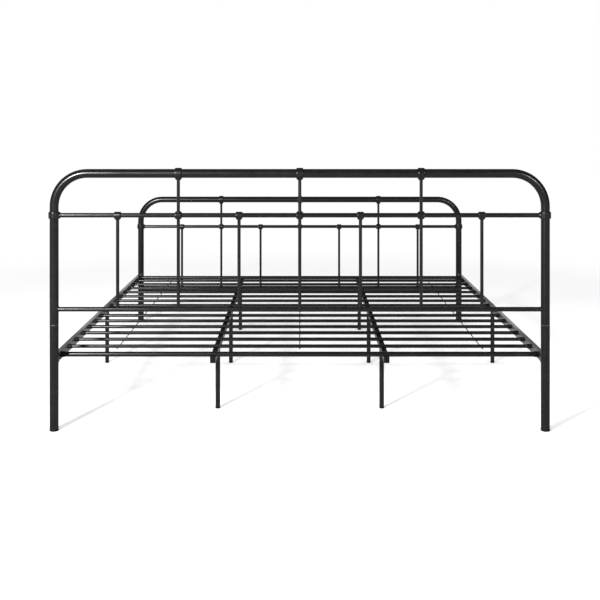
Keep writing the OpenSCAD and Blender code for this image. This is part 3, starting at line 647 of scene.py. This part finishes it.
# a flat head on a round post is drawn up a little way into its skin
HEAD_SINK = 0.0004
corners = [(sx, sy * y) for sx in (-1, 1) for sy in (-1, 1) for y in BOLT_YS]
bm = bmesh.new()
for sx, y in corners:
    screw(bm, standing(sx * SIDE_RAIL_OUT, y, BOLT_Z, (sx, 0, 0), turn=y), BOLT_L, thread_from=0.020)
finish_piece("corner_screws", bm, "coated_steel", ("corner_bolts",), sharp=30)
bm = bmesh.new()
for sx, y in corners:
    nut(bm, standing(sx * LUG_IN, y, BOLT_Z, (-sx, 0, 0), turn=3 * y), NUT_FLATS, NUT_H, NUT_BORE_R)
finish_piece("corner_hex_nuts", bm, "plated_steel", ("corner_nuts",), sharp=30)
bm = bmesh.new()
for sx in (-1, 1):
    for x, z in ((SIDE_LEG[0], SIDE_RAIL_BOTTOM), (CENTRE_RAIL_X, CENTRE_RAIL_BOTTOM)):
        for y in (-SPLICE_SCREW_Y, SPLICE_SCREW_Y):
            screw(bm, standing(sx * x, y, z, (0, 0, -1), turn=sx + y), SHORT_SCREW_L, thread_from=0.002)
finish_piece("splice_button_screws", bm, "coated_steel", ("splice_screws",), sharp=30)
bm = bmesh.new()
for sx in (-1, 1):
    seat_y = POST_R - POST_Y - HEAD_SINK
    seat = standing(sx * POST_X, seat_y, LEG_SCREW_Z, (0, 1, 0), turn=sx)
    screw(bm, seat, SHORT_SCREW_L, thread_from=0.003)
finish_piece("leg_joint_screws", bm, "coated_steel", ("headboard_leg_screws",), sharp=30)

# %% [markdown]
# ## Leg joints
#
# The headboard's legs slide on to sleeves, and the two tube ends meet in a fine groove. A thin ring of bright
# bare metal at the bottom of the groove is a painted highlight: it stands in for the light that the groove's
# edges catch.

# %% Bright rings in the leg joints, a painted highlight
JOINT_Z = 0.416
# the outline comes back to its first point, so that the ring is closed on the inside too
RING = [(15.0, -0.70), (16.95, -0.70), (17.15, -0.35), (17.2, 0.0), (17.15, 0.35), (16.95, 0.70),
        (15.0, 0.70), (15.0, -0.70)]
bm = bmesh.new()
for x in (-POST_X, POST_X):
    set_down(bm, turned([(r * MM, z * MM) for r, z in RING], 48), standing(x, -POST_Y, JOINT_Z))
# painted highlight: the bright plated rings stand in for the light caught by the joint's groove
finish_piece("joint_rings_painted_highlight", bm, "plated_steel", sharp=0)

# %% [markdown]
# ## Corner lugs
#
# A flat plate is welded to each post, and the side rail bolts to it. Its upper edge slopes down to the rail,
# so that a mattress cover doesn't catch. The plate is a flat outline, pulled out to its thickness, with every
# edge broken as a press tool leaves it, and a rippled bead runs up both sides of the joint with the post.

# %% Plates and their welds
LUG_OUTLINE = [(0.978, 0.261), (0.978, 0.288), (1.021, 0.302), (1.0330, 0.302), (1.0330, 0.253),
               (1.01025, 0.253)]
LUG_T, LUG_CORNER_R, LUG_EDGE = 0.004, 0.004, 0.0005
WELD_LOW, WELD_HIGH, WELD_R, WELD_RIPPLES, WELD_SWELL = 0.255, 0.300, 0.0019, 11, 0.14


def lug_plate(bm, sx, sy):
    """Plate in the YZ plane against the rail's inner face."""
    part = bmesh.new()
    outline = [part.verts.new((sx * LUG_IN, sy * y, z)) for y, z in LUG_OUTLINE]
    part.faces.new(outline)
    # the two corners inside the post stay sharp
    round_corners(part, [outline[n] for n in (0, 1, 2, 5)], LUG_CORNER_R, 4)
    out = bmesh.ops.extrude_face_region(part, geom=part.faces[:])["geom"]
    bmesh.ops.translate(part, vec=(sx * LUG_T, 0, 0), verts=only(BMVert, out))
    rim = [e for e in part.edges if abs(e.verts[0].co.x - e.verts[1].co.x) < 1e-6]
    bmesh.ops.bevel(part, geom=rim, offset=LUG_EDGE, offset_type="OFFSET", segments=2, profile=0.5,
                    affect="EDGES", material=-1)
    set_down(bm, part)


def straight_bead(bm, start, end, size, ripples):
    """A rippled rope of weld from start to end, closed at both ends."""
    start, end = Vector(start), Vector(end)
    length = (end - start).length
    profile = [(0.0, -size * 0.5), (size * 0.7, -size * 0.25)]
    steps = ripples * 4
    for n in range(steps + 1):
        z = length * n / steps
        profile.append((size * (1.0 + WELD_SWELL * math.sin(2 * math.pi * ripples * n / steps)), z))
    profile += [(size * 0.7, length + size * 0.25), (0.0, length + size * 0.5)]
    set_down(bm, turned(profile, 10), standing(*start, end - start))


bm, beads = bmesh.new(), bmesh.new()
for sx in (-1, 1):
    for sy in (-1, 1):
        lug_plate(bm, sx, sy)
        for x in (LUG_IN, LUG_IN + LUG_T):
            reach = math.sqrt(POST_R ** 2 - (POST_X - x) ** 2)
            y = sy * (POST_Y - reach)
            straight_bead(beads, (sx * x, y, WELD_LOW), (sx * x, y, WELD_HIGH), WELD_R, WELD_RIPPLES)
# the lugs get the same coat painted lighter grey, a painted highlight
finish_piece("pressed_corner_lugs", bm, "coated_steel", ("corner_lugs",), sharp=30, coat=PAINTED_LIGHT_RAIL_COAT)
finish_piece("corner_lug_welds", beads, "coated_steel", sharp=0)

# %% [markdown]
# ## Centre rails
#
# Two lighter rails run under the slats from end bar to end bar. Their ends are notched to hook under the end
# bars and closed by moulded plugs. The frame's own rail halves already have the notch, so only the plugs are
# new: a flange with rounded corners, a broken edge and a shallow dish, as a moulded plug has.

# %% End plugs
PLUG_CORNER_R = 0.0025
# each step out from the rail's end: how far forward, and how much smaller on every side
PLUG_STEPS = [(0.0012, 0.0), (0.0005, 0.0003), (0.0003, 0.0008), (0.0, 0.0035), (-0.0008, 0.0006)]


def end_plug(bm, sx, sy):
    part = bmesh.new()
    half_w, half_h = CENTRE_RAIL_W / 2, (CENTRE_RAIL_TOP - CENTRE_RAIL_BOTTOM) / 2
    corners = [part.verts.new((a * half_w, b * half_h, 0)) for a, b in ((-1, -1), (1, -1), (1, 1), (-1, 1))]
    part.faces.new(corners)
    round_corners(part, corners, PLUG_CORNER_R, 5)
    back = front = part.faces[:][0]
    for forward, smaller in PLUG_STEPS:
        out = bmesh.ops.extrude_face_region(part, geom=[front])["geom"]
        if front is not back:
            bmesh.ops.delete(part, geom=[front], context="FACES_ONLY")
        front = only(BMFace, out)[0]
        reach = max(abs(v.co.x) for v in front.verts), max(abs(v.co.y) for v in front.verts)
        for v in front.verts:
            v.co.x *= (reach[0] - smaller) / reach[0]
            v.co.y *= (reach[1] - smaller) / reach[1]
            v.co.z += forward
    z_mid = (CENTRE_RAIL_BOTTOM + CENTRE_RAIL_TOP) / 2
    set_down(bm, part, standing(sx * CENTRE_RAIL_X, sy * CENTRE_RAIL_END, z_mid, (0, sy, 0)))


bm = bmesh.new()
for sx in (-1, 1):
    for sy in (-1, 1):
        end_plug(bm, sx, sy)
finish_piece("moulded_rail_plugs", bm, "black_plastic", ("centre_rail_plugs",), sharp=40)

# %% [markdown]
# ## Floor and light
#
# A plain near-white floor and a large soft light overhead give gentle shadows. Black satin metal shows mostly
# what it reflects. A small bright panel to the left of the camera draws the long highlight along the tubes,
# and a weaker one to the right separates the bends. A wide panel beyond the footboard lightens the far edges.
# It is seen only in reflections, and the floor is dimmer in them than it is lit.

# %% Floor
FLOOR_IN_REFLECTIONS, SURROUND_IN_REFLECTIONS, FILL_LIGHT = 0.42, 0.03, 0.25
FLOOR_SIZE, FADE_FROM, FADE_TO = 40.0, 1.6, 4.5
bm = bmesh.new()
bmesh.ops.create_grid(bm, x_segments=1, y_segments=1, size=FLOOR_SIZE)
floor_mesh = bpy.data.meshes.new("floor")
bm.to_mesh(floor_mesh)
bm.free()
floor = bpy.data.objects.new("floor", floor_mesh)
bpy.context.scene.collection.objects.link(floor)
floor_paint = bpy.data.materials.new("floor_paint")
floor_paint.use_nodes = True
tree = floor_paint.node_tree
lit = tree.nodes["Principled BSDF"]
lit.inputs["Base Color"].default_value = (0.92, 0.92, 0.92, 1.0)
lit.inputs["Roughness"].default_value = 0.9
lit.inputs["Specular IOR Level"].default_value = 0.0
white, mirrored = tree.nodes.new("ShaderNodeEmission"), tree.nodes.new("ShaderNodeEmission")
white.inputs["Strength"].default_value = 1.0
mirrored.inputs["Strength"].default_value = FLOOR_IN_REFLECTIONS
ray = tree.nodes.new("ShaderNodeLightPath")
spot, away, sweep = (tree.nodes.new(n) for n in
                     ("ShaderNodeTexCoord", "ShaderNodeVectorMath", "ShaderNodeMapRange"))
away.operation = "LENGTH"
sweep.interpolation_type = "SMOOTHSTEP"
sweep.inputs["From Min"].default_value = FADE_FROM
sweep.inputs["From Max"].default_value = FADE_TO
fade, by_ray = tree.nodes.new("ShaderNodeMixShader"), tree.nodes.new("ShaderNodeMixShader")
link_nodes(
    tree,
    (spot.outputs["Object"], away.inputs[0]),
    (away.outputs["Value"], sweep.inputs["Value"]),
    (sweep.outputs["Result"], fade.inputs["Fac"]),
    (lit.outputs["BSDF"], fade.inputs[1]),
    (white.outputs["Emission"], fade.inputs[2]),
    (ray.outputs["Is Glossy Ray"], by_ray.inputs["Fac"]),
    (fade.outputs["Shader"], by_ray.inputs[1]),
    (mirrored.outputs["Emission"], by_ray.inputs[2]),
    (by_ray.outputs["Shader"], tree.nodes["Material Output"].inputs["Surface"]),
)
floor_mesh.materials.append(floor_paint)

# %% Lights and surroundings
scene = bpy.context.scene
scene.view_settings.view_transform = "Standard"
scene.view_settings.look = "None"
world = bpy.data.worlds.new("studio")
scene.world = world
world.use_nodes = True
tree = world.node_tree
tree.nodes.clear()
output = tree.nodes.new("ShaderNodeOutputWorld")
seen, fill, dark = (tree.nodes.new("ShaderNodeBackground") for _ in range(3))
seen.inputs["Strength"].default_value = 1.0
fill.inputs["Strength"].default_value = FILL_LIGHT
dark.inputs["Strength"].default_value = SURROUND_IN_REFLECTIONS
for background in (seen, fill, dark):
    background.inputs["Color"].default_value = (1.0, 1.0, 1.0, 1.0)
ray = tree.nodes.new("ShaderNodeLightPath")
blend, blend_gloss = tree.nodes.new("ShaderNodeMixShader"), tree.nodes.new("ShaderNodeMixShader")
link_nodes(
    tree,
    (ray.outputs["Is Glossy Ray"], blend_gloss.inputs["Fac"]),
    (fill.outputs["Background"], blend_gloss.inputs[1]),
    (dark.outputs["Background"], blend_gloss.inputs[2]),
    (ray.outputs["Is Camera Ray"], blend.inputs["Fac"]),
    (blend_gloss.outputs["Shader"], blend.inputs[1]),
    (seen.outputs["Background"], blend.inputs[2]),
    (blend.outputs["Shader"], output.inputs["Surface"]),
)


def soft_panel(name, place, aim, width, height, watts, in_reflections=True, on_surfaces=True):
    """A rectangular soft light at place, facing aim."""
    lamp = bpy.data.lights.new(name, "AREA")
    lamp.shape = "RECTANGLE"
    lamp.size, lamp.size_y = width, height
    lamp.energy = watts
    holder = bpy.data.objects.new(name, lamp)
    holder.location = place
    holder.rotation_euler = (Vector(aim) - Vector(place)).to_track_quat("-Z", "Y").to_euler()
    holder.visible_camera = False
    holder.visible_glossy = in_reflections
    holder.visible_diffuse = on_surfaces
    scene.collection.objects.link(holder)
    return holder


soft_panel("left_key", (-2.3, -4.7, 2.1), (0, 0, 0.5), 0.4, 0.5, 370.0)
soft_panel("right_fill", (2.8, -4.6, 2.0), (0, 0, 0.5), 0.6, 0.7, 60.0)
soft_panel("overhead", (0.0, 0.0, 4.6), (0, 0, 0), 7.0, 7.0, 285.0, in_reflections=False)
soft_panel("white_wall", (0.0, 6.5, 1.1), (0, 0, 0.5), 12.0, 2.4, 50.0, on_surfaces=False)
